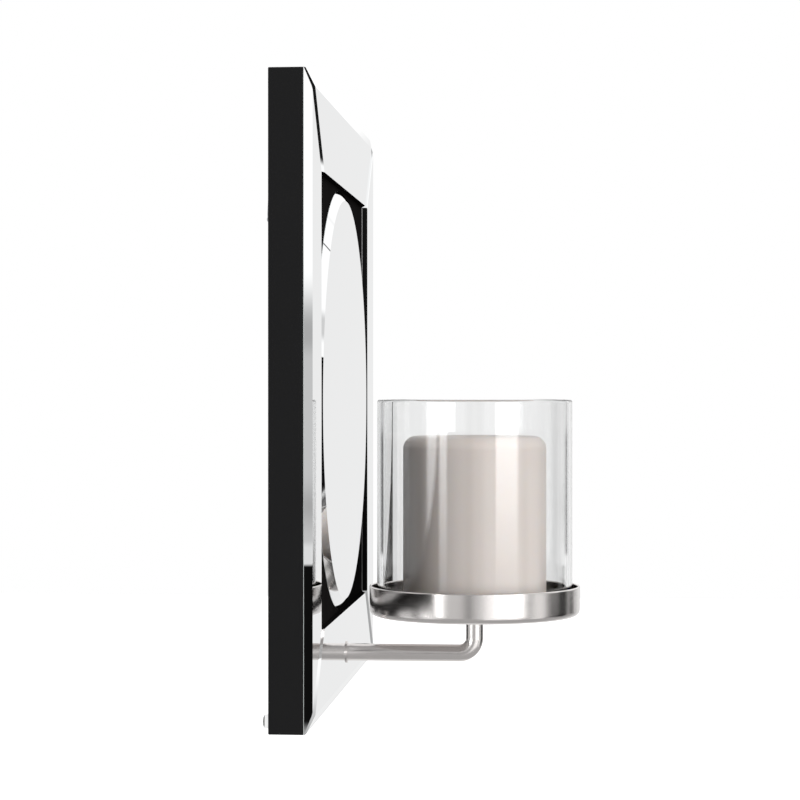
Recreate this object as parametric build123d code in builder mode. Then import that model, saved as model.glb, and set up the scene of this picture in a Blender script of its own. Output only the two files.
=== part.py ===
"""Mirrored wall sconce for one pillar candle.

A square black board faced with four mitred, bevelled mirror strips round a bevelled disc mirror.
A bent rod carries a shallow dish with a pillar candle inside an open glass cylinder.

Millimetres. +X points out of the wall, +Y runs along it, +Z is up. The origin is on the wall,
behind the centre of the square panel.
"""
from build123d import *
from math import cos, radians, sin, sqrt
import os

# ---- driving dimensions -------------------------------------------------------------------
# panel
panel_side = 304.8
board_back = 2.7             # gap that the rubber bumpers keep between board and wall
board_thickness = 16.3
board_edge_round = 0.5

# mirror glass
strip_opening = 219.2        # side of the square opening inside the four strips
glass_thickness = 3.2
ground_edge = 0.8            # glass left at the thin side of the narrow bevels
end_bevel = 6.5              # outer edge of the upper and lower strips
wide_bevel = 8.5             # outer edge of the side strips and mitres of the other two
thin_edge = 0.2              # glass left at the other bevels, ground almost to the back
mitre_arris = 0.4            # the side strips' mitres only have their sharp edge taken off
mitre_gap = 0.2
disc_diameter = 217.6
disc_bevel = 5.1
tape_depth = 0.8
tape_width = 18.0
tape_margin = 0.5            # gap between tape and groove wall
strip_tape_length = 199.0
disc_tape_length = 130.0
disc_tape_rows = (-55.0, 0.0, 55.0)

# arm
arm_z = -131.8
rod_diameter = 9.0
bend_radius = 8.0
tenon_diameter = 8.0
tenon_flats = 6.0            # width across the two flats at the wall end of the arm
collar_diameter = 11.4
collar_thickness = 0.6
bush_diameter = 9.8
strip_hole_diameter = 10.2
slip = 0.05                  # radial gap round parts that are assembled by hand

# fixing plate in the back of the board
plate_width = 58.0
plate_height = 24.0
plate_thickness = 2.0
plate_corner = 4.0
plate_pocket_depth = 6.3
plate_screw_spread = 44.0
plate_screw_rise = 13.0
pocket_margin = 0.5

# fasteners
machine_thread = 5.0
machine_shank = machine_thread - 2 * slip
machine_clearance_hole = 5.5
tapped_depth = 14.0
arm_screw_head = (9.4, 2.8)
arm_screw_length = 14.0
arm_washer_diameter = 12.0
arm_washer_thickness = 1.2
dish_screw_head = (9.4, 2.6)
dish_screw_length = 12.0
dish_washer_diameter = 14.0
dish_washer_thickness = 0.8
wood_screw_head = (5.6, 1.6)
wood_screw_diameter = 3.0
wood_clearance_hole = 3.4
hanger_screw_length = 11.0
plate_screw_length = 8.0
pilot_extra = 1.0            # pilot holes run this much past the screw's tip

# dish
dish_x = 89.26               # axis of dish, cylinder and candle
dish_diameter = 109.4
dish_height = 15.3
dish_rim_z = -96.4
sheet = 1.2
dish_corner = 3.2

# glass cylinder and candle
cylinder_diameter = 101.4
cylinder_wall = 3.0
cylinder_top_z = 0.2
cylinder_lip_round = 1.2
candle_diameter = 74.5
candle_top_z = -18.7
candle_shoulder = 6.5
melt_well_radius = 26.0
melt_well_depth = 5.0
base_hollow_diameter = 32.0
base_hollow_depth = 6.0
wick_diameter = 2.2
wick_stand = 3.6             # wick above the floor of the melt well
wick_tip_round = 0.5
candle_foot_round = 1.5
sustainer_diameter = 24.0
sustainer_thickness = 0.4
sustainer_neck = 2.0
sustainer_neck_wall = 0.5
seat_gap = 0.05              # keeps pieces that lift off just clear of what they stand on

# hangers
hanger_y = 133.0
hanger_pivot_z = 84.0
hanger_pivot_x = 1.75
ring_wire = 1.8
ring_width = 17.2            # between wire centres
ring_height = 12.5
ring_bar_corner = 1.9
ring_top_corner = 3.6
ring_top_share = 0.62
eye_clearance = 0.08
strap_thickness = 0.6
strap_width = 10.0
strap_length = 34.0
strap_foot_round = 3.0
strap_groove_margin = 0.5
strap_screw_offsets = (-12.0, -27.0)

# wall bumpers
bumper_inset = 5.4
bumper_diameter = 7.0
bumper_tip_diameter = 5.6

# ---- worked-out dimensions ----------------------------------------------------------------
half_panel = panel_side / 2
half_opening = strip_opening / 2
strip_width = half_panel - half_opening
strip_middle = (half_panel + half_opening) / 2
board_front = board_back + board_thickness
mirror_front = board_front + glass_thickness
arm_shoulder = mirror_front + collar_thickness
plate_front = board_back + plate_pocket_depth
plate_back = plate_front - plate_thickness
dish_bottom_z = dish_rim_z - dish_height
dish_floor_z = dish_bottom_z + sheet
stand_z = dish_floor_z + seat_gap
eye_radius = ring_wire / 2 + eye_clearance
strap_face = hanger_pivot_x + eye_radius
strap_back = strap_face + strap_thickness

dish_axis = Axis((dish_x, 0, 0), (0, 0, 1))
dish_section = Plane(origin=(dish_x, 0, 0), x_dir=(1, 0, 0), z_dir=(0, -1, 0))


# ---- fasteners ----------------------------------------------------------------------------
def pan_screws(face, points, head, shank):
    """Cross-recessed screws standing on a face plane, driven along its normal.

    head is (diameter, height) and shank is (diameter, length), all seen from the face plane."""
    head_diameter, head_height = head
    shank_diameter, shank_length = shank
    recess_length = head_diameter * 0.62
    recess_width = head_diameter * 0.17
    crown = head_height * 0.55
    with BuildPart() as screws:
        with BuildSketch(face.offset(-head_height)):
            with Locations(*points):
                Circle(head_diameter / 2)
        extrude(amount=head_height)
        driven_side = screws.faces().group_by(Axis(face.origin, face.z_dir))[0]
        fillet(driven_side.edges(), crown)
        with BuildSketch(face.offset(-head_height)):
            with Locations(*points):
                Rectangle(recess_length, recess_width)
                Rectangle(recess_width, recess_length)
        extrude(amount=head_height * 0.6, mode=Mode.SUBTRACT)
        with BuildSketch(face):
            with Locations(*points):
                Circle(shank_diameter / 2)
        extrude(amount=shank_length)
    return screws


def save(name, piece):
    piece.part.label = name
    export_step(piece.part, f"parts/{name}.step")


os.makedirs("parts", exist_ok=True)

# ---- backboard ----------------------------------------------------------------------------
plate_screw_points = [
    (side * plate_screw_spread / 2, arm_z + rise * plate_screw_rise / 2)
    for side in (-1, 1) for rise in (-1, 1)
]
hanger_screw_points = [
    (side * hanger_y, hanger_pivot_z + offset)
    for side in (-1, 1) for offset in strap_screw_offsets
]
strap_groove_points = [(side * hanger_y, hanger_pivot_z - strap_length / 2) for side in (-1, 1)]


def tape_outlines(margin):
    """Rectangles for every strip of mounting tape, drawn larger all round by a margin."""
    for side in (-1, 1):
        with Locations((0, side * strip_middle)):
            Rectangle(strip_tape_length + 2 * margin, tape_width + 2 * margin)
        with Locations((side * strip_middle, 0)):
            Rectangle(tape_width + 2 * margin, strip_tape_length + 2 * margin)
    for row in disc_tape_rows:
        with Locations((0, row)):
            Rectangle(disc_tape_length + 2 * margin, tape_width + 2 * margin)


with BuildPart() as backboard:
    with BuildSketch(Plane.YZ.offset(board_back)):
        Rectangle(panel_side, panel_side)
    extrude(amount=board_thickness)
    fillet(backboard.edges(), board_edge_round)
    # pocket for the fixing plate, with the bore for the arm's tenon at its centre
    with BuildSketch(Plane.YZ.offset(board_back)):
        with Locations((0, arm_z)):
            RectangleRounded(
                plate_width + 2 * pocket_margin, plate_height + 2 * pocket_margin,
                plate_corner + pocket_margin)
    extrude(amount=plate_pocket_depth, mode=Mode.SUBTRACT)
    with BuildSketch(Plane.YZ.offset(board_back)):
        with Locations((0, arm_z)):
            Circle(tenon_diameter / 2 + slip)
    extrude(amount=board_thickness, mode=Mode.SUBTRACT)
    # shallow grooves for the hanger straps
    with BuildSketch(Plane.YZ.offset(board_back)):
        with Locations(*strap_groove_points):
            RectangleRounded(
                strap_width + 2 * strap_groove_margin, strap_length + 4 * (eye_radius + strap_thickness),
                strap_foot_round)
    extrude(amount=strap_back - board_back, mode=Mode.SUBTRACT)
    # screw pilots
    with BuildSketch(Plane.YZ.offset(board_back)):
        with Locations(*hanger_screw_points):
            Circle(wood_screw_diameter / 2 + slip)
    extrude(amount=strap_face + hanger_screw_length + pilot_extra - board_back, mode=Mode.SUBTRACT)
    with BuildSketch(Plane.YZ.offset(plate_front)):
        with Locations(*plate_screw_points):
            Circle(wood_screw_diameter / 2 + slip)
    extrude(amount=plate_screw_length - plate_thickness + pilot_extra, mode=Mode.SUBTRACT)
    # grooves in the front that let the mounting tape lie flush
    with BuildSketch(Plane.YZ.offset(board_front)):
        tape_outlines(tape_margin)
    extrude(amount=-tape_depth, mode=Mode.SUBTRACT)
save("backboard", backboard)

# ---- mounting tape ------------------------------------------------------------------------
with BuildPart() as mirror_tape:
    with BuildSketch(Plane.YZ.offset(board_front - tape_depth)):
        tape_outlines(0)
        with Locations((0, arm_z)):
            Rectangle(strip_width, tape_width, mode=Mode.SUBTRACT)
    extrude(amount=tape_depth)
save("mirror_tape", mirror_tape)


# ---- mirrors ------------------------------------------------------------------------------
def bevel_plane(face, edge, outward, width, drop):
    """The plane ground onto a strip's front along the edge through a point of the face plane."""
    start = face.from_local_coords((
        edge[0] - width * outward[0], edge[1] - width * outward[1], glass_thickness))
    normal = face.x_dir * (drop * outward[0]) + face.y_dir * (drop * outward[1]) + face.z_dir * width
    return Plane(origin=start, z_dir=normal)


def mirror_strip(turn, outer, mitred, hole_radius=0.0):
    """One mitred strip of mirror; the upper one is turned about the X axis to make the others.

    outer and mitred are the width and the drop of the bevels on the outer edge and the mitres."""
    along = (0, cos(radians(turn)), sin(radians(turn)))
    face = Plane(origin=(board_front, 0, 0), x_dir=along, z_dir=(1, 0, 0))
    pull_in = mitre_gap / sqrt(2)
    mitre = 1 / sqrt(2)
    with BuildPart() as strip:
        with BuildSketch(face):
            Polygon(
                (-half_panel + pull_in, half_panel), (-half_opening + pull_in, half_opening),
                (half_opening - pull_in, half_opening), (half_panel - pull_in, half_panel), align=None)
            if hole_radius:
                with Locations((0, -arm_z)):
                    Circle(hole_radius, mode=Mode.SUBTRACT)
        extrude(amount=glass_thickness)
        split(bisect_by=bevel_plane(face, (0, half_panel), (0, 1), *outer), keep=Keep.BOTTOM)
        for side in (-1, 1):
            corner = (side * (half_panel - pull_in), half_panel)
            across = (side * mitre, -mitre)
            split(bisect_by=bevel_plane(face, corner, across, *mitred), keep=Keep.BOTTOM)
    return strip


wide = (wide_bevel, glass_thickness - thin_edge)
narrow = (end_bevel, glass_thickness - ground_edge)
arris = (mitre_arris, mitre_arris)
save("mirror_strip_top", mirror_strip(0, narrow, wide))
save("mirror_strip_left", mirror_strip(90, wide, arris))
save("mirror_strip_bottom", mirror_strip(180, narrow, wide, strip_hole_diameter / 2))
save("mirror_strip_right", mirror_strip(270, wide, arris))

with BuildPart() as round_mirror:
    with BuildSketch(Plane.XZ):
        Polygon(
            (board_front, 0), (board_front, disc_diameter / 2),
            (board_front + thin_edge, disc_diameter / 2),
            (mirror_front, disc_diameter / 2 - disc_bevel),
            (mirror_front, 0), align=None)
    revolve(axis=Axis.X)
save("round_mirror", round_mirror)

# ---- arm ----------------------------------------------------------------------------------
tenon_entry = plate_thickness * 0.8

with BuildPart() as arm:
    with BuildLine() as arm_path:
        run_out = Line((arm_shoulder, 0, arm_z), (dish_x - bend_radius, 0, arm_z))
        bend = TangentArc(
            run_out @ 1, (dish_x, 0, arm_z + bend_radius), tangent=run_out % 1)
        Line(bend @ 1, (dish_x, 0, dish_bottom_z))
    with BuildSketch(Plane.YZ.offset(arm_shoulder)):
        with Locations((0, arm_z)):
            Circle(rod_diameter / 2)
    sweep(path=arm_path.wire())
    # tenon through collar, glass and board, then two flats that key into the fixing plate
    with BuildSketch(Plane.YZ.offset(plate_front)):
        with Locations((0, arm_z)):
            Circle(tenon_diameter / 2)
    extrude(amount=arm_shoulder - plate_front)
    with BuildSketch(Plane.YZ.offset(plate_front - tenon_entry)):
        with Locations((0, arm_z)):
            Circle(tenon_diameter / 2)
            Rectangle(tenon_flats, tenon_diameter, mode=Mode.INTERSECT)
    extrude(amount=tenon_entry)
    # tapped holes for the screw behind the plate and the screw in the dish
    with BuildSketch(Plane.YZ.offset(plate_front - tenon_entry)):
        with Locations((0, arm_z)):
            Circle(machine_thread / 2)
    extrude(amount=tapped_depth, mode=Mode.SUBTRACT)
    with BuildSketch(Plane.XY.offset(dish_bottom_z)):
        with Locations((dish_x, 0)):
            Circle(machine_thread / 2)
    extrude(amount=-tapped_depth, mode=Mode.SUBTRACT)
save("arm", arm)


def ring_on_arm(start, thickness, outer, inner):
    """A flat ring or sleeve round the arm's tenon."""
    with BuildPart() as ring:
        with BuildSketch(Plane.YZ.offset(start)):
            with Locations((0, arm_z)):
                Circle(outer / 2)
                Circle(inner / 2, mode=Mode.SUBTRACT)
        extrude(amount=thickness)
    return ring


tenon_hole = tenon_diameter + 2 * slip
save("arm_collar", ring_on_arm(mirror_front, collar_thickness, collar_diameter, tenon_hole))
save("arm_bush", ring_on_arm(board_front, glass_thickness, bush_diameter, tenon_hole))

# ---- fixing plate and its screws ------------------------------------------------------------
with BuildPart() as arm_plate:
    with BuildSketch(Plane.YZ.offset(plate_back)):
        with Locations((0, arm_z)):
            RectangleRounded(plate_width, plate_height, plate_corner)
        with Locations(*plate_screw_points):
            Circle(wood_clearance_hole / 2, mode=Mode.SUBTRACT)
        with BuildSketch(mode=Mode.SUBTRACT):
            with Locations((0, arm_z)):
                Circle(tenon_diameter / 2 + slip)
                Rectangle(tenon_flats + 2 * slip, 2 * tenon_diameter, mode=Mode.INTERSECT)
    extrude(amount=plate_thickness)
save("arm_plate", arm_plate)

save("arm_plate_screws", pan_screws(
    Plane.YZ.offset(plate_back), plate_screw_points, wood_screw_head,
    (wood_screw_diameter, plate_screw_length)))

washer_back = plate_back - arm_washer_thickness
save("arm_washer", ring_on_arm(
    washer_back, arm_washer_thickness, arm_washer_diameter, machine_clearance_hole))
save("arm_screw", pan_screws(
    Plane.YZ.offset(washer_back), [(0, arm_z)], arm_screw_head, (machine_shank, arm_screw_length)))

# ---- dish -----------------------------------------------------------------------------------
dish_radius = dish_diameter / 2
dish_hole_radius = machine_clearance_hole / 2
with BuildPart() as dish:
    with BuildSketch(dish_section) as dish_sketch:
        with BuildLine():
            Polyline(
                (dish_hole_radius, dish_bottom_z), (dish_radius, dish_bottom_z),
                (dish_radius, dish_rim_z), (dish_radius - sheet, dish_rim_z),
                (dish_radius - sheet, dish_floor_z), (dish_hole_radius, dish_floor_z), close=True)
        make_face()
        fillet(dish_sketch.vertices().group_by(Axis.Y)[0].sort_by(Axis.X)[-1], dish_corner)
        fillet(dish_sketch.vertices().group_by(Axis.Y)[1].sort_by(Axis.X)[-1], dish_corner - sheet)
        fillet(dish_sketch.vertices().group_by(Axis.Y)[-1], sheet * 0.45)
    revolve(axis=dish_axis)
save("dish", dish)

with BuildPart() as dish_washer:
    with BuildSketch(Plane.XY.offset(dish_floor_z)):
        with Locations((dish_x, 0)):
            Circle(dish_washer_diameter / 2)
            Circle(dish_hole_radius, mode=Mode.SUBTRACT)
    extrude(amount=dish_washer_thickness)
save("dish_washer", dish_washer)

screw_face = Plane(
    origin=(dish_x, 0, dish_floor_z + dish_washer_thickness), x_dir=(1, 0, 0), z_dir=(0, 0, -1))
save("dish_screw", pan_screws(
    screw_face, [(0, 0)], dish_screw_head, (machine_shank, dish_screw_length)))

# ---- glass cylinder -------------------------------------------------------------------------
with BuildPart() as glass_cylinder:
    with BuildSketch(Plane.XY.offset(stand_z)):
        with Locations((dish_x, 0)):
            Circle(cylinder_diameter / 2)
            Circle(cylinder_diameter / 2 - cylinder_wall, mode=Mode.SUBTRACT)
    extrude(amount=cylinder_top_z - stand_z)
    fillet(glass_cylinder.edges().group_by(Axis.Z)[-1], cylinder_lip_round)
    fillet(glass_cylinder.edges().group_by(Axis.Z)[0], cylinder_lip_round * 0.5)
save("glass_cylinder", glass_cylinder)

# ---- candle ---------------------------------------------------------------------------------
candle_radius = candle_diameter / 2
well_floor_z = candle_top_z - melt_well_depth
hollow_top_z = stand_z + base_hollow_depth
wick_bore = wick_diameter / 2 + slip

with BuildPart() as candle_wax:
    with BuildSketch(dish_section):
        with BuildLine():
            foot = Polyline(
                (wick_bore, hollow_top_z), (base_hollow_diameter / 2, hollow_top_z),
                (base_hollow_diameter / 2, stand_z), (candle_radius, stand_z),
                (candle_radius, candle_top_z - candle_shoulder))
            shoulder = TangentArc(
                foot @ 1, (candle_radius - candle_shoulder, candle_top_z), tangent=(0, 1))
            rim = Line(shoulder @ 1, (melt_well_radius, candle_top_z))
            well = Spline(
                rim @ 1, (melt_well_radius * 0.6, candle_top_z - melt_well_depth * 0.72),
                (wick_bore, well_floor_z), tangents=((-1, -0.1), (-1, 0)))
            Line(well @ 1, foot @ 0)
        make_face()
    revolve(axis=dish_axis)
    foot_edge = candle_wax.edges().group_by(Axis.Z)[0].sort_by(SortBy.RADIUS)[-1]
    fillet(foot_edge, candle_foot_round)
save("candle_wax", candle_wax)

with BuildPart() as candle_wick:
    with BuildSketch(Plane.XY.offset(hollow_top_z - sustainer_neck)):
        with Locations((dish_x, 0)):
            Circle(wick_diameter / 2)
    extrude(amount=well_floor_z + wick_stand - hollow_top_z + sustainer_neck)
    fillet(candle_wick.edges().group_by(Axis.Z)[-1], wick_tip_round)
save("candle_wick", candle_wick)

with BuildPart() as wick_sustainer:
    with BuildSketch(Plane.XY.offset(hollow_top_z - sustainer_thickness)):
        with Locations((dish_x, 0)):
            Circle(sustainer_diameter / 2)
            Circle(wick_bore, mode=Mode.SUBTRACT)
    extrude(amount=sustainer_thickness)
    with BuildSketch(Plane.XY.offset(hollow_top_z - sustainer_neck)):
        with Locations((dish_x, 0)):
            Circle(wick_bore + sustainer_neck_wall)
            Circle(wick_bore, mode=Mode.SUBTRACT)
    extrude(amount=sustainer_neck - sustainer_thickness)
save("wick_sustainer", wick_sustainer)


# ---- hangers --------------------------------------------------------------------------------
def hanger_strap(y):
    """A steel strap with a rolled eye at its top for the hanging ring."""
    side = Plane(origin=(0, y, 0), x_dir=(1, 0, 0), z_dir=(0, -1, 0))
    with BuildPart() as strap:
        with BuildSketch(side):
            with Locations((hanger_pivot_x, hanger_pivot_z)):
                Circle(eye_radius + strap_thickness)
            with Locations((strap_back, hanger_pivot_z)):
                Rectangle(strap_thickness, strap_length, align=(Align.MAX, Align.MAX))
            with Locations((hanger_pivot_x, hanger_pivot_z)):
                Circle(eye_radius, mode=Mode.SUBTRACT)
        extrude(amount=strap_width / 2, both=True)
        with BuildSketch(Plane.YZ):
            with Locations(*[(y, hanger_pivot_z + offset) for offset in strap_screw_offsets]):
                Circle(wood_clearance_hole / 2)
        extrude(amount=board_front, mode=Mode.SUBTRACT)
        fillet(strap.edges().filter_by(Axis.X).group_by(Axis.Z)[0], strap_foot_round)
    return strap


def hanger_ring(y):
    """A bent-wire D whose straight bar turns in the strap's eye."""
    flat = Plane.YZ.offset(hanger_pivot_x)
    half_bar = ring_width / 2
    half_top = half_bar * ring_top_share
    top_z = hanger_pivot_z + ring_height
    with BuildPart() as ring:
        with BuildLine(flat) as outline:
            FilletPolyline(
                (y + half_bar, hanger_pivot_z), (y + half_top, top_z), (y - half_top, top_z),
                (y - half_bar, hanger_pivot_z),
                radius=[ring_bar_corner, ring_top_corner, ring_top_corner, ring_bar_corner], close=True)
        with BuildSketch(Plane(origin=outline.wire() @ 0, z_dir=outline.wire() % 0)):
            Circle(ring_wire / 2)
        sweep(path=outline.wire())
    return ring


for side_name, side in (("left", -1), ("right", 1)):
    save(f"hanger_strap_{side_name}", hanger_strap(side * hanger_y))
    save(f"hanger_ring_{side_name}", hanger_ring(side * hanger_y))
save("hanger_screws", pan_screws(
    Plane.YZ.offset(strap_face), hanger_screw_points, wood_screw_head,
    (wood_screw_diameter, hanger_screw_length)))


# ---- wall bumpers ---------------------------------------------------------------------------
def wall_bumper(y):
    """A clear rubber button, flat where it meets the wall."""
    with BuildPart() as bumper:
        with BuildSketch(Plane.YZ):
            with Locations((y, -half_panel + bumper_inset)):
                Circle(bumper_tip_diameter / 2)
        with BuildSketch(Plane.YZ.offset(board_back)):
            with Locations((y, -half_panel + bumper_inset)):
                Circle(bumper_diameter / 2)
        loft()
    return bumper


for side_name, side in (("left", -1), ("right", 1)):
    save(f"wall_bumper_{side_name}", wall_bumper(side * (half_panel - bumper_inset)))
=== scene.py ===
"""Looks for the mirrored wall sconce: materials, finely made pieces, studio and camera.

Metres, in the shared frame: +X out of the wall, +Y along it, +Z up, origin on the wall behind
the centre of the square panel. Places and outer sizes are read from the frame's boxes, and the
finer sizes stand at the head of each piece's function.
"""
import math

import bmesh
import bpy
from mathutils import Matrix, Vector


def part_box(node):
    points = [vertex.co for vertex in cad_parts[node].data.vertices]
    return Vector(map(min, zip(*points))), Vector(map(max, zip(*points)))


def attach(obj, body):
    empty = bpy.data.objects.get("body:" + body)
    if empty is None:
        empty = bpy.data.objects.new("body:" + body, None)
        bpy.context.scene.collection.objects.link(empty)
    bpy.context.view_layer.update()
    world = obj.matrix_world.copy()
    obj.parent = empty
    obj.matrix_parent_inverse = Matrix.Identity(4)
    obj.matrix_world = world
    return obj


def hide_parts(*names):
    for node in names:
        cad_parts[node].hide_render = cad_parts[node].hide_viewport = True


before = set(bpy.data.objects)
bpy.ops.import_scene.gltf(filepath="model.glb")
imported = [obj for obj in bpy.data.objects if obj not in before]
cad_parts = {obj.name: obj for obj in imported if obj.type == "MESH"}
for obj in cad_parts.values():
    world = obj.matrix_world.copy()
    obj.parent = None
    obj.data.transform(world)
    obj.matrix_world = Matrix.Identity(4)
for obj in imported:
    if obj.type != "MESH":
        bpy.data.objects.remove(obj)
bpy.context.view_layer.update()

MM = 0.001
ROUND = 360                 # sides of a large lathed piece
ROD_SIDES = 96              # sides of the arm and its collar
SUPPORT = 0.3 * MM          # distance of the extra points at the ends of a long run

# ---- places read from the frame -------------------------------------------------------------
board_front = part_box("backboard")[1].x
disc_low, disc_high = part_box("round_mirror")
arm_low, arm_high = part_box("arm")
collar_low, collar_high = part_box("arm_collar")
dish_low, dish_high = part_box("dish")
glass_low, glass_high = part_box("glass_cylinder")
wax_low, wax_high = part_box("candle_wax")
wick_low, wick_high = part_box("candle_wick")

axis_x = (dish_low.x + dish_high.x) / 2
rod_radius = (arm_high.y - arm_low.y) / 2
arm_z = arm_low.z + rod_radius


# ---- mesh helpers -----------------------------------------------------------------------------
def arc(centre, radius, start, end, steps):
    """Points on a circle of the outline plane from one angle to another, in degrees."""
    angles = [math.radians(start + (end - start) * i / steps) for i in range(steps + 1)]
    return [(centre[0] + radius * math.cos(a), centre[1] + radius * math.sin(a)) for a in angles]


def supported(outline, closed=False):
    """Adds points close to both ends of each long run, so that smooth shading stays on the curves."""
    result = []
    pairs = list(zip(outline, outline[1:] + outline[:1] if closed else outline[1:]))
    for start, end in pairs:
        result.append(start)
        start, end = Vector(start), Vector(end)
        length = (end - start).length
        if length > 4 * SUPPORT:
            step = (end - start) * (SUPPORT / length)
            result += [tuple(start + step), tuple(end - step)]
    return result if closed else result + [outline[-1]]


def new_piece(name, mesh, materials, body, *replaced):
    """Puts a mesh in the scene as a piece that rides on a body and stands for CAD nodes."""
    piece = bpy.data.objects.new(name, mesh)
    bpy.context.scene.collection.objects.link(piece)
    for material in materials:
        mesh.materials.append(material)
    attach(piece, body)
    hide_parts(*replaced)
    return piece


def mesh_from(name, build):
    """A mesh made by a function that fills a bmesh."""
    mesh = bpy.data.meshes.new(name)
    bm = bmesh.new()
    build(bm)
    bmesh.ops.recalc_face_normals(bm, faces=bm.faces)
    bm.to_mesh(mesh)
    bm.free()
    return mesh


def smooth_by_angle(mesh, degrees):
    """Smooth shading with sharp creases above an angle."""
    mesh.shade_smooth()
    mesh.set_sharp_from_angle(angle=math.radians(degrees))


def lathe(name, outline, segments, place, closed=True):
    """Turns (radius, height) points about an axis. place maps (a, b, h) to a point in the frame.

    A point on the axis closes the surface there."""
    outline = supported(outline, closed)

    def build(bm):
        rings = []
        for radius, height in outline:
            if radius < 1e-7:
                rings.append([bm.verts.new(place(0, 0, height))])
                continue
            turn = [2 * math.pi * i / segments for i in range(segments)]
            rings.append([
                bm.verts.new(place(radius * math.cos(t), radius * math.sin(t), height)) for t in turn])
        pairs = list(zip(rings, rings[1:]))
        if closed:
            pairs.append((rings[-1], rings[0]))
        for low, high in pairs:
            for i in range(segments):
                j = (i + 1) % segments
                if len(low) == 1 and len(high) == 1:
                    break
                if len(low) == 1:
                    bm.faces.new((low[0], high[j], high[i]))
                elif len(high) == 1:
                    bm.faces.new((low[i], low[j], high[0]))
                else:
                    bm.faces.new((low[i], low[j], high[j], high[i]))
    mesh = mesh_from(name, build)
    smooth_by_angle(mesh, 35)
    return mesh


def upright(a, b, h):
    """A lathe place about the dish's vertical axis."""
    return (axis_x + a, b, h)


def sweep(name, path, radius, sides):
    """A round bar with flat ends along a list of points that already turns smoothly."""
    path = supported(path)

    def build(bm):
        rings = []
        up = Vector((0, 1, 0))
        for i, point in enumerate(path):
            before, after = path[max(i - 1, 0)], path[min(i + 1, len(path) - 1)]
            along = (Vector(after) - Vector(before)).normalized()
            across = up.cross(along).normalized()
            rings.append([
                bm.verts.new(Vector(point) + radius * (
                    math.cos(2 * math.pi * k / sides) * across + math.sin(2 * math.pi * k / sides) * up))
                for k in range(sides)])
        for low, high in zip(rings, rings[1:]):
            for k in range(sides):
                m = (k + 1) % sides
                bm.faces.new((low[k], low[m], high[m], high[k]))
        bm.faces.new(rings[0])
        bm.faces.new(rings[-1])
    mesh = mesh_from(name, build)
    smooth_by_angle(mesh, 40)
    return mesh


# ---- material helpers -------------------------------------------------------------------------
class Nodes:
    """A node tree with short ways to add nodes and join them."""

    def __init__(self, tree):
        self.tree = tree
        tree.nodes.clear()

    def add(self, kind, **settings):
        node = self.tree.nodes.new(kind)
        for name, value in settings.items():
            setattr(node, name, value)
        return node

    def link(self, source, target):
        self.tree.links.new(source, target)

    def math(self, operation, first, second=0.0):
        node = self.add("ShaderNodeMath", operation=operation)
        for socket, value in zip(node.inputs, (first, second)):
            if isinstance(value, (int, float)):
                socket.default_value = value
            else:
                self.link(value, socket)
        return node.outputs[0]

    def ramp(self, value, low, high, out_low=0.0, out_high=1.0):
        """A smooth step of a value from one level to another."""
        node = self.add("ShaderNodeMapRange", interpolation_type="SMOOTHSTEP")
        self.link(value, node.inputs["Value"])
        numbers = {"From Min": low, "From Max": high, "To Min": out_low, "To Max": out_high}
        for name, number in numbers.items():
            node.inputs[name].default_value = number
        return node.outputs["Result"]

    def noise(self, scale, detail, stretch=(1, 1, 1)):
        """Noise over the piece's own coordinates, stretched along an axis."""
        place = self.add("ShaderNodeTexCoord")
        shape = self.add("ShaderNodeMapping")
        shape.inputs["Scale"].default_value = stretch
        texture = self.add("ShaderNodeTexNoise")
        texture.inputs["Scale"].default_value = scale
        texture.inputs["Detail"].default_value = detail
        self.link(place.outputs["Object"], shape.inputs["Vector"])
        self.link(shape.outputs["Vector"], texture.inputs["Vector"])
        return texture.outputs["Fac"]

    def bump(self, height, strength, distance):
        node = self.add("ShaderNodeBump")
        node.inputs["Strength"].default_value = strength
        node.inputs["Distance"].default_value = distance
        self.link(height, node.inputs["Height"])
        return node.outputs["Normal"]


def surface(name, base, roughness, **sockets):
    """A material with one Principled shader; returns it with its nodes and the shader."""
    material = bpy.data.materials.new(name)
    material.use_nodes = True
    nodes = Nodes(material.node_tree)
    shader = nodes.add("ShaderNodeBsdfPrincipled")
    output = nodes.add("ShaderNodeOutputMaterial")
    nodes.link(shader.outputs["BSDF"], output.inputs["Surface"])
    shader.inputs["Base Color"].default_value = (*base, 1)
    shader.inputs["Roughness"].default_value = roughness
    for socket, value in sockets.items():
        shader.inputs[socket.replace("_", " ")].default_value = value
    return material, nodes, shader


def vary_colour(nodes, shader, value, dark, light):
    """Colour that runs from one tone to another with a value."""
    mix = nodes.add("ShaderNodeMix", data_type="RGBA")
    mix.inputs["A"].default_value = (*dark, 1)
    mix.inputs["B"].default_value = (*light, 1)
    nodes.link(value, mix.inputs["Factor"])
    nodes.link(mix.outputs["Result"], shader.inputs["Base Color"])


# ---- materials --------------------------------------------------------------------------------
def make_lacquer():
    material, nodes, shader = surface("black_lacquer", (0.016, 0.016, 0.016), 0.42, Specular_IOR_Level=0.1)
    grain = nodes.noise(900, 3)
    nodes.link(nodes.ramp(grain, 0.35, 0.65, 0.38, 0.47), shader.inputs["Roughness"])
    vary_colour(nodes, shader, nodes.noise(35, 4), (0.0135, 0.0135, 0.014), (0.0155, 0.0155, 0.016))
    nodes.link(nodes.bump(grain, 0.08, 0.0002), shader.inputs["Normal"])
    return material


def make_recess_black():
    material, nodes, shader = surface("recess_black", (0.012, 0.011, 0.011), 0.6, Specular_IOR_Level=0.0)
    vary_colour(nodes, shader, nodes.noise(50, 4), (0.009, 0.008, 0.008), (0.016, 0.015, 0.015))
    nodes.link(nodes.bump(nodes.noise(900, 3), 0.08, 0.0002), shader.inputs["Normal"])
    return material


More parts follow.
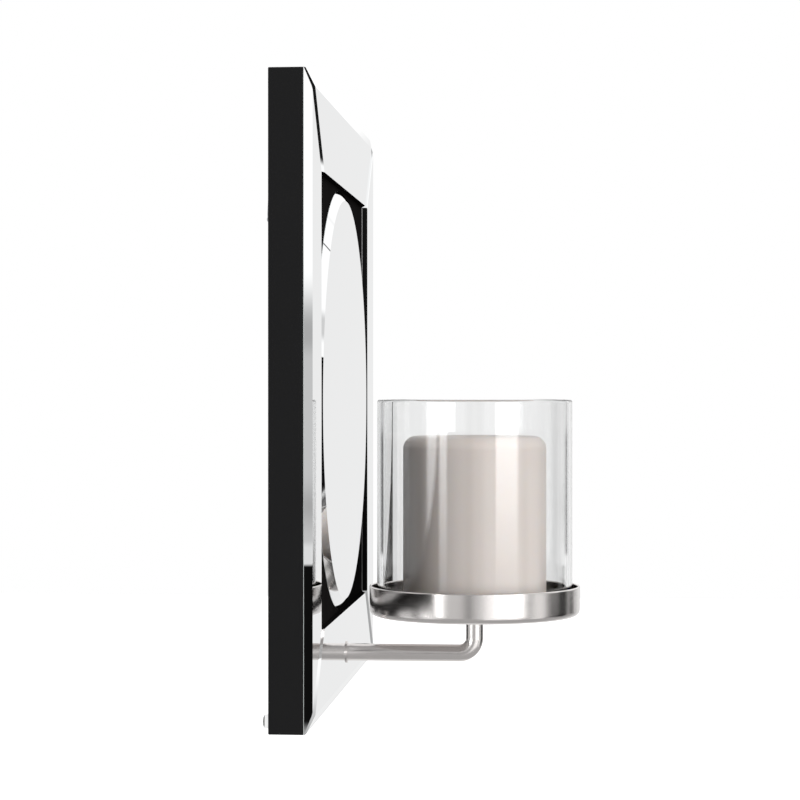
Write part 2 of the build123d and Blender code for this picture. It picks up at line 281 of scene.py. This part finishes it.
def make_mirror():
    material, nodes, shader = surface("silvered_glass", (0.87, 0.875, 0.88), 0.0, Metallic=1.0)
    haze = nodes.noise(14, 3)
    nodes.link(nodes.ramp(haze, 0.3, 0.7, 0.0, 0.012), shader.inputs["Roughness"])
    vary_colour(nodes, shader, nodes.noise(9, 2), (0.865, 0.872, 0.876), (0.88, 0.884, 0.886))
    return material


def make_glass_edge():
    material, nodes, shader = surface("ground_glass_edge", (0.88, 0.93, 0.91), 0.12, Specular_IOR_Level=0.6)
    vary_colour(nodes, shader, nodes.noise(120, 2), (0.80, 0.87, 0.85), (0.93, 0.96, 0.95))
    nodes.link(nodes.bump(nodes.noise(2500, 2), 0.15, 0.0001), shader.inputs["Normal"])
    return material


def make_backing():
    """Black edge paint over the glass, with the silver layer showing as a line at the very back."""
    material, nodes, shader = surface("mirror_back_paint", (0.02, 0.02, 0.022), 0.5, Specular_IOR_Level=0.0)
    place = nodes.add("ShaderNodeTexCoord")
    split = nodes.add("ShaderNodeSeparateXYZ")
    nodes.link(place.outputs["Object"], split.inputs["Vector"])
    line = nodes.ramp(split.outputs["X"], board_front + 0.25 * MM, board_front + 0.4 * MM, 1.0, 0.0)
    vary_colour(nodes, shader, line, (0.011, 0.011, 0.011), (0.55, 0.55, 0.55))
    nodes.link(nodes.bump(nodes.noise(1200, 2), 0.08, 0.0001), shader.inputs["Normal"])
    return material


def make_nickel():
    material, nodes, shader = surface("polished_nickel", (0.72, 0.69, 0.675), 0.2, Metallic=1.0)
    lines = nodes.noise(160, 3, stretch=(1, 1, 30))
    nodes.link(nodes.ramp(lines, 0.3, 0.7, 0.17, 0.23), shader.inputs["Roughness"])
    vary_colour(nodes, shader, nodes.noise(25, 3), (0.69, 0.66, 0.645), (0.75, 0.72, 0.705))
    nodes.link(nodes.bump(lines, 0.05, 0.0001), shader.inputs["Normal"])
    return material


def make_zinc():
    material, nodes, shader = surface("zinc_plate", (0.62, 0.63, 0.65), 0.3, Metallic=1.0)
    cloud = nodes.noise(90, 5)
    nodes.link(nodes.ramp(cloud, 0.3, 0.7, 0.24, 0.42), shader.inputs["Roughness"])
    vary_colour(nodes, shader, cloud, (0.55, 0.56, 0.58), (0.70, 0.71, 0.72))
    nodes.link(nodes.bump(nodes.noise(1500, 3), 0.1, 0.0001), shader.inputs["Normal"])
    return material


def make_clear_glass():
    material, nodes, shader = surface(
        "clear_glass", (0.985, 0.988, 0.988), 0.0, IOR=1.45, Transmission_Weight=1.0)
    vary_colour(nodes, shader, nodes.noise(12, 2), (0.984, 0.987, 0.987), (0.99, 0.991, 0.99))
    return material


def make_wax():
    material, nodes, shader = surface(
        "ivory_wax", (0.72, 0.66, 0.60), 0.42, Subsurface_Weight=0.35, Subsurface_Scale=0.006,
        Subsurface_Radius=(1.0, 0.7, 0.45), Specular_IOR_Level=0.35)
    vary_colour(nodes, shader, nodes.noise(30, 4), (0.765, 0.695, 0.65), (0.815, 0.745, 0.70))
    mottle = nodes.noise(260, 4)
    nodes.link(nodes.ramp(mottle, 0.3, 0.7, 0.36, 0.5), shader.inputs["Roughness"])
    nodes.link(nodes.bump(mottle, 0.08, 0.0003), shader.inputs["Normal"])
    return material


def make_cotton():
    material, nodes, shader = surface("wick_cotton", (0.86, 0.83, 0.77), 0.85)
    vary_colour(nodes, shader, nodes.noise(3000, 3), (0.74, 0.70, 0.63), (0.90, 0.87, 0.81))
    nodes.link(nodes.bump(nodes.noise(5000, 2), 0.4, 0.0002), shader.inputs["Normal"])
    return material


def make_foam():
    material, nodes, shader = surface("foam_tape", (0.05, 0.05, 0.05), 0.9)
    cells = nodes.noise(3500, 2)
    vary_colour(nodes, shader, cells, (0.03, 0.03, 0.03), (0.08, 0.08, 0.08))
    nodes.link(nodes.bump(cells, 0.5, 0.0002), shader.inputs["Normal"])
    return material


def make_nylon():
    material, nodes, shader = surface("nylon_bush", (0.86, 0.85, 0.82), 0.45, Subsurface_Weight=0.1)
    vary_colour(nodes, shader, nodes.noise(400, 2), (0.82, 0.81, 0.78), (0.88, 0.87, 0.84))
    return material


def make_rubber():
    material, nodes, shader = surface(
        "clear_rubber", (0.985, 0.988, 0.988), 0.1, IOR=1.06, Transmission_Weight=1.0)
    nodes.link(nodes.bump(nodes.noise(900, 2), 0.1, 0.0002), shader.inputs["Normal"])
    return material


LACQUER = make_lacquer()
RECESS = make_recess_black()
MIRROR = make_mirror()
GLASS_EDGE = make_glass_edge()
BACKING = make_backing()
NICKEL = make_nickel()
ZINC = make_zinc()
CLEAR_GLASS = make_clear_glass()
WAX = make_wax()
COTTON = make_cotton()
FOAM = make_foam()
NYLON = make_nylon()
RUBBER = make_rubber()


# ---- camera -----------------------------------------------------------------------------------
# It stands level beside the panel, 1.2 m away, and looks along the wall.
SENSOR = 36.0
EYE = Vector((149.7, -1170.3, 4.0)) * MM
YAW = 4.857
PITCH = -0.196
LENS = 101.24

camera_data = bpy.data.cameras.new("camera")
camera_data.sensor_width = SENSOR
camera_data.lens = LENS
camera_data.clip_start = 0.05
camera_data.clip_end = 50
camera = bpy.data.objects.new("camera", camera_data)
camera.location = EYE
camera.rotation_euler = (math.radians(90 + PITCH), 0, math.radians(YAW))
bpy.context.scene.collection.objects.link(camera)
bpy.context.scene.camera = camera


# ---- CAD nodes that keep their shape ------------------------------------------------------------
def paint(node, material):
    """One material for a whole CAD node."""
    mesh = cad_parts[node].data
    mesh.materials.clear()
    mesh.materials.append(material)


# The board is lacquered, and its front is the matt black that shows round the round mirror.
paint("backboard", LACQUER)
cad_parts["backboard"].data.materials.append(RECESS)
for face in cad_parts["backboard"].data.polygons:
    if face.normal.x > 0.5:
        face.material_index = 1
paint("mirror_tape", FOAM)
paint("arm_bush", NYLON)
for node in ("arm_plate", "arm_plate_screws", "arm_washer", "arm_screw", "wick_sustainer",
             "hanger_strap_left", "hanger_strap_right", "hanger_screws"):
    paint(node, ZINC)
for node in ("dish_screw", "dish_washer"):
    paint(node, NICKEL)


def dress_strip(node, edge_paint):
    """Front and bevels are mirror, the back and the opening's side are paint, the rest ground glass.

    The side strips, painted with BACKING, have square cut mitre ends that mirror as well."""
    middle = Vector((board_front, 0, 0))
    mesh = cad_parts[node].data
    mesh.materials.clear()
    for material in (MIRROR, GLASS_EDGE, edge_paint):
        mesh.materials.append(material)
    for face in mesh.polygons:
        inward = (middle - face.center).normalized()
        mitre_end = edge_paint is BACKING and 0.6 < abs(face.normal.y) < 0.8
        if face.normal.x > 0.5 or mitre_end:
            face.material_index = 0
        elif face.normal.x < -0.5 or face.normal.dot(inward) > 0.6:
            face.material_index = 2
        else:
            face.material_index = 1


for side, edge_paint in (("top", RECESS), ("bottom", RECESS), ("left", BACKING), ("right", BACKING)):
    dress_strip(f"mirror_strip_{side}", edge_paint)


# ---- round mirror -------------------------------------------------------------------------------
def make_round_mirror():
    radius = (disc_high.y - disc_low.y) / 2
    bevel = 5.1 * MM
    edge = 0.2 * MM
    outline = [(0, disc_low.x), (radius, disc_low.x), (radius, disc_low.x + edge),
               (radius - bevel, disc_high.x), (0, disc_high.x)]
    mesh = lathe("round_mirror_pane", outline, ROUND, lambda a, b, h: (h, a, b), closed=False)
    smooth_by_angle(mesh, 10)
    new_piece("round_mirror_pane", mesh, (MIRROR, GLASS_EDGE, BACKING), "panel", "round_mirror")
    for face in mesh.polygons:
        if face.normal.x > 0.5:
            face.material_index = 0
        else:
            face.material_index = 2 if face.normal.x < -0.9 else 1


make_round_mirror()


# ---- arm ----------------------------------------------------------------------------------------
def make_arm():
    """The part of the rod that shows, which starts inside the collar and ends inside the dish."""
    bend = 8.0 * MM
    into_collar = 0.2 * MM
    into_dish = 0.1 * MM
    straight = 1 * MM
    start = collar_high.x - into_collar
    corner = (axis_x - bend, arm_z + bend)
    path = [(start, 0, arm_z), (start + straight, 0, arm_z)]
    path += [(x, 0, z) for x, z in arc(corner, bend, -90, 0, 40)]
    path += [(axis_x, 0, dish_low.z - straight), (axis_x, 0, dish_low.z + into_dish)]
    new_piece("arm_rod", sweep("arm_rod", path, rod_radius, ROD_SIDES), (NICKEL,), "panel", "arm")


def make_collar():
    """A flat ring with rounded lips, whose hole is hidden inside the rod."""
    radius = (collar_high.y - collar_low.y) / 2
    hole = rod_radius - 0.5 * MM
    lip = 0.2 * MM
    outline = [(hole, collar_low.x), (radius - lip, collar_low.x)]
    outline += arc((radius - lip, collar_low.x + lip), lip, -90, 0, 6)
    outline += arc((radius - lip, collar_high.x - lip), lip, 0, 90, 6)
    outline += [(hole, collar_high.x)]
    mesh = lathe("arm_rosette", outline, ROD_SIDES, lambda a, b, h: (h, a, arm_z + b))
    new_piece("arm_rosette", mesh, (NICKEL,), "panel", "arm_collar")


make_arm()
make_collar()


# ---- dish ---------------------------------------------------------------------------------------
def make_dish():
    """A tray pressed from sheet, with a rounded corner, a rolled lip and a hole for its screw."""
    radius = (dish_high.x - dish_low.x) / 2
    sheet = 1.2 * MM
    corner = 3.2 * MM
    hole = 2.75 * MM
    floor = dish_low.z + sheet
    halfway = radius / 2
    lip = sheet / 2
    outline = [(hole, dish_low.z), (halfway, dish_low.z)]
    outline += arc((radius - corner, dish_low.z + corner), corner, -90, 0, 14)
    outline += arc((radius - lip, dish_high.z - lip), lip, 0, 180, 12)
    outline += arc((radius - corner, dish_low.z + corner), corner - sheet, 0, -90, 10)
    outline += [(halfway, floor), (hole, floor)]
    new_piece("dish_tray", lathe("dish_tray", outline, ROUND, upright), (NICKEL,), "panel", "dish")


make_dish()


# ---- glass cylinder -----------------------------------------------------------------------------
def make_cylinder():
    """An open tube with rounded lips. It casts no shadow, so that light reaches the wax in it."""
    radius = (glass_high.x - glass_low.x) / 2
    wall = 3.0 * MM
    lip = 1.2 * MM
    foot = 0.6 * MM
    inner = radius - wall
    outline = arc((radius - foot, glass_low.z + foot), foot, -90, 0, 6)
    outline += arc((radius - lip, glass_high.z - lip), lip, 0, 90, 8)
    outline += arc((inner + lip, glass_high.z - lip), lip, 90, 180, 8)
    outline += arc((inner + foot, glass_low.z + foot), foot, 180, 270, 6)
    mesh = lathe("hurricane_glass", outline, ROUND, upright)
    piece = new_piece("hurricane_glass", mesh, (CLEAR_GLASS,), "glass", "glass_cylinder")
    piece.visible_shadow = False
    piece.visible_diffuse = False


make_cylinder()


# ---- candle -------------------------------------------------------------------------------------
def make_candle():
    """A pillar with a rounded shoulder, a shallow well round the wick and a hollow under it."""
    radius = (wax_high.x - wax_low.x) / 2
    shoulder = 6.5 * MM
    foot = 1.5 * MM
    well = 26.0 * MM
    depth = 5.0 * MM
    hollow = 16.0 * MM
    hollow_height = 6.0 * MM
    hollow_round = 1 * MM
    bore = 1.2 * MM
    wall_steps = 40
    well_steps = 24
    well_fullness = 1.3
    hollow_top = wax_low.z + hollow_height
    outline = [(bore, hollow_top), (hollow - hollow_round, hollow_top)]
    outline += arc((hollow - hollow_round, hollow_top - hollow_round), hollow_round, 90, 0, 4)
    outline += [(hollow, wax_low.z)]
    outline += arc((radius - foot, wax_low.z + foot), foot, -90, 0, 6)
    wall_bottom, wall_top = wax_low.z + foot, wax_high.z - shoulder
    wall_step = (wall_top - wall_bottom) / wall_steps
    outline += [(radius, wall_bottom + wall_step * i) for i in range(1, wall_steps)]
    outline += arc((radius - shoulder, wall_top), shoulder, 0, 90, 16)
    for i in range(well_steps + 1):
        share = i / well_steps
        dip = math.sin(share * math.pi / 2) ** well_fullness
        outline.append((well + (bore - well) * share, wax_high.z - depth * dip))
    mesh = lathe("pillar_wax", outline, 256, upright)
    new_piece("pillar_wax", mesh, (WAX,), "candle", "candle_wax")


make_candle()


def make_wick():
    """Three cotton strands laid round each other, bent a little at the tip."""
    strands = 3
    strand_radius = 0.62 * MM
    lay = 0.55 * MM
    pitch = 7 * MM
    bend = 0.8 * MM
    bent_share = 0.05
    steps = 160
    sides = 10
    around = [2 * math.pi * k / sides for k in range(sides)]

    def build(bm):
        for strand in range(strands):
            rings = []
            for i in range(steps + 1):
                share = i / steps
                z = wick_low.z + (wick_high.z - wick_low.z) * share
                turn = 2 * math.pi * (z - wick_low.z) / pitch + strand * 2 * math.pi / strands
                lean = bend * max(0.0, (share - 1 + bent_share) / bent_share) ** 2
                centre = Vector((axis_x + lay * math.cos(turn) + lean, lay * math.sin(turn), z))
                rings.append([
                    bm.verts.new(centre + strand_radius * Vector((math.cos(a), math.sin(a), 0)))
                    for a in around])
            for low, high in zip(rings, rings[1:]):
                for k in range(sides):
                    m = (k + 1) % sides
                    bm.faces.new((low[k], low[m], high[m], high[k]))
            bm.faces.new(rings[0])
            bm.faces.new(rings[-1])
    mesh = mesh_from("cotton_wick", build)
    smooth_by_angle(mesh, 50)
    new_piece("cotton_wick", mesh, (COTTON,), "candle", "candle_wick")


make_wick()


# ---- hanging rings and bumpers --------------------------------------------------------------------
for side in ("left", "right"):
    paint(f"hanger_ring_{side}", ZINC)


def make_bumper(side):
    """A small clear button behind the board, its crown towards the wall."""
    low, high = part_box(f"wall_bumper_{side}")
    middle = (low + high) / 2
    radius = (high.y - low.y) / 2
    tip = radius * 0.8
    crown = 0.5 * MM
    base_round = 0.1 * MM
    outline = [(0, high.x), (radius - base_round, high.x), (radius, high.x - 1.5 * base_round),
               (tip + (radius - tip) * 0.35, low.x + crown * 1.2), (tip, low.x + crown * 0.35),
               (tip - crown, low.x), (0, low.x)]
    mesh = lathe(f"bumper_{side}", outline, 64, lambda a, b, h: (h, middle.y + a, middle.z + b),
                 closed=False)
    new_piece(f"bumper_{side}", mesh, (RUBBER,), "panel", f"wall_bumper_{side}")


for side in ("left", "right"):
    make_bumper(side)


# ---- studio -------------------------------------------------------------------------------------
def make_floor():
    """A wide pale floor well below the sconce. Only the camera sees it."""
    height = -1.2
    half_width = 12.0
    glow = 0.9

    def build(bm):
        corners = [(-1, -1), (1, -1), (1, 1), (-1, 1)]
        bm.faces.new([bm.verts.new((x * half_width, y * half_width, height)) for x, y in corners])
    mesh = mesh_from("floor", build)
    floor = bpy.data.objects.new("floor", mesh)
    bpy.context.scene.collection.objects.link(floor)
    material, _, shader = surface("floor_paper", (0.9, 0.9, 0.9), 0.9)
    shader.inputs["Emission Color"].default_value = (1, 1, 1, 1)
    shader.inputs["Emission Strength"].default_value = glow
    mesh.materials.append(material)
    floor.visible_glossy = False
    floor.visible_diffuse = False
    floor.visible_transmission = False


make_floor()


def make_world():
    """What the metal, mirror and glass see round them, and a soft plain light for the rest.

    Azimuth is in degrees from the camera's side (-Y) towards +X, elevation up from level."""
    world = bpy.data.worlds.new("studio")
    bpy.context.scene.world = world
    world.use_nodes = True
    world.cycles.sampling_method = "NONE"
    nodes = Nodes(world.node_tree)
    place = nodes.add("ShaderNodeTexCoord")
    split = nodes.add("ShaderNodeSeparateXYZ")
    nodes.link(place.outputs["Generated"], split.inputs["Vector"])
    x, y, z = split.outputs
    azimuth = nodes.math("DEGREES", nodes.math("ARCTAN2", x, nodes.math("MULTIPLY", y, -1.0)))
    behind = nodes.math("ABSOLUTE", azimuth)
    elevation = nodes.math("DEGREES", nodes.math("ARCSINE", z))

    def window(value, low, high, soft):
        """1 inside a range and 0 outside it. soft is half an edge's width, or one for each edge."""
        soft_low, soft_high = soft if isinstance(soft, tuple) else (soft, soft)
        rise = nodes.ramp(value, low - soft_low, low + soft_low)
        fall = nodes.ramp(value, high - soft_high, high + soft_high, 1.0, 0.0)
        return nodes.math("MULTIPLY", rise, fall)

    def lay(under, level, across, up, soft_across, soft_up, around=azimuth):
        """Puts a patch of some brightness over what is there so far."""
        mask = nodes.math("MULTIPLY", window(around, *across, soft_across), window(elevation, *up, soft_up))
        mix = nodes.add("ShaderNodeMix")
        for name, value in (("Factor", mask), ("A", under), ("B", level)):
            if isinstance(value, (int, float)):
                mix.inputs[name].default_value = value
            else:
                nodes.link(value, mix.inputs[name])
        return mix.outputs["Result"]

    # the dim room, and on the camera's side a paler wall with the camera's own dark shape
    seen = lay(0.48, 0.74, (-40, 14), (-14, 12), 5, 4)
    seen = lay(seen, 0.26, (-8, 1), (-14, 8), 4, 4)

    # the key soft box with a glow round it, and a narrow second box
    key_level = nodes.ramp(elevation, -6.5, 0.5, 1.0, 7.0)
    seen = lay(seen, 1.3, (13, 59), (-30, 45), 5, 4)
    seen = lay(seen, key_level, (28, 55.5), (-12, 9), 1.2, 3)
    seen = lay(seen, 1.05, (69, 86), (-30, -1.5), 3, (4, 1.5))
    seen = lay(seen, 0.75, (69, 86), (-1.5, 50), 3, (1.5, 4))

    # in front of the mirror: a low dark screen, a grey wall with two darker bands, white above
    seen = lay(seen, 0.005, (91, 110), (-20, -3.8), 4, (10, 1.0))
    seen = lay(seen, 0.60, (94, 146), (-4.4, 2.0), 4, 0.4)
    seen = lay(seen, 0.42, (94, 146), (-3.3, -2.5), 4, 0.5)
    seen = lay(seen, 0.45, (94, 146), (1.1, 2.4), 4, 0.3)
    seen = lay(seen, 1.15, (94, 180), (2.4, 80), 4, 0.8)

    # what the side strips' bevel sees below the grey wall: a white edge over black
    seen = lay(seen, 0.8, (128, 140), (-4.5, -3.85), 1.5, 0.12)
    seen = lay(seen, 0.005, (128, 140), (-8.5, -4.39), 1.5, (0.2, 0.05))

    # what the round mirror's bevel sees: a black flag with a shelf over it
    seen = lay(seen, 0.7, (107, 124), (11, 15), 1.5, 1)
    seen = lay(seen, 0.005, (107, 123), (-23, 7.8), 2, (5, 0.15))

    # what the bevels of the mitres see, and a light's stand
    seen = lay(seen, 1.1, (141, 147.5), (-6, -4.1), 1.0, (0.3, 0.1))
    seen = lay(seen, 0.01, (141, 147.5), (-4.1, -1.0), 1.0, (0.1, 0.3))
    seen = lay(seen, 0.05, (137.0, 137.5), (14, 30), 0.2, 2)

    # the white sweep behind the object, brighter higher up
    seen = lay(seen, 0.885, (149.5, 190), (-80, 80), 1.2, 4, behind)
    seen = lay(seen, 1.15, (150, 190), (8.8, 80), 1.5, 0.5, behind)

    # the plain light on wax and paint
    calm = lay(0.1, 0.5, (-180, 190), (35, 100), 5, 20)
    calm = lay(calm, 0.45, (130, 190), (-60, 60), 12, 15, behind)

    def shade(level):
        background = nodes.add("ShaderNodeBackground")
        background.inputs["Color"].default_value = (1, 1, 1, 1)
        if isinstance(level, (int, float)):
            background.inputs["Strength"].default_value = level
        else:
            nodes.link(level, background.inputs["Strength"])
        return background.outputs["Background"]

    path = nodes.add("ShaderNodeLightPath")
    result = shade(seen)
    after_diffuse = nodes.math("GREATER_THAN", path.outputs["Diffuse Depth"], 0.5)
    for ray, level in ((after_diffuse, calm), (path.outputs["Is Camera Ray"], 1.0)):
        mix = nodes.add("ShaderNodeMixShader")
        nodes.link(ray, mix.inputs["Fac"])
        nodes.link(result, mix.inputs[1])
        nodes.link(shade(level), mix.inputs[2])
        result = mix.outputs["Shader"]
    output = nodes.add("ShaderNodeOutputWorld")
    nodes.link(result, output.inputs["Surface"])


def make_key():
    """The soft box as a lamp, for the wax, the paint and the floor; the world shows it in the metal."""
    azimuth = math.radians(40)
    distance = 2.0
    height = 0.35
    target = Vector((axis_x, 0, -0.05))
    lamp = bpy.data.lights.new("key", "AREA")
    lamp.shape = "RECTANGLE"
    lamp.size = 0.95
    lamp.size_y = 1.9
    lamp.energy = 35
    key = bpy.data.objects.new("key", lamp)
    key.location = (axis_x + distance * math.sin(azimuth), -distance * math.cos(azimuth), height)
    aim = target - key.location
    key.rotation_euler = aim.to_track_quat("-Z", "Y").to_euler()
    key.visible_glossy = False
    key.visible_transmission = False
    bpy.context.scene.collection.objects.link(key)


make_key()
make_world()
bpy.context.scene.view_settings.view_transform = "Standard"
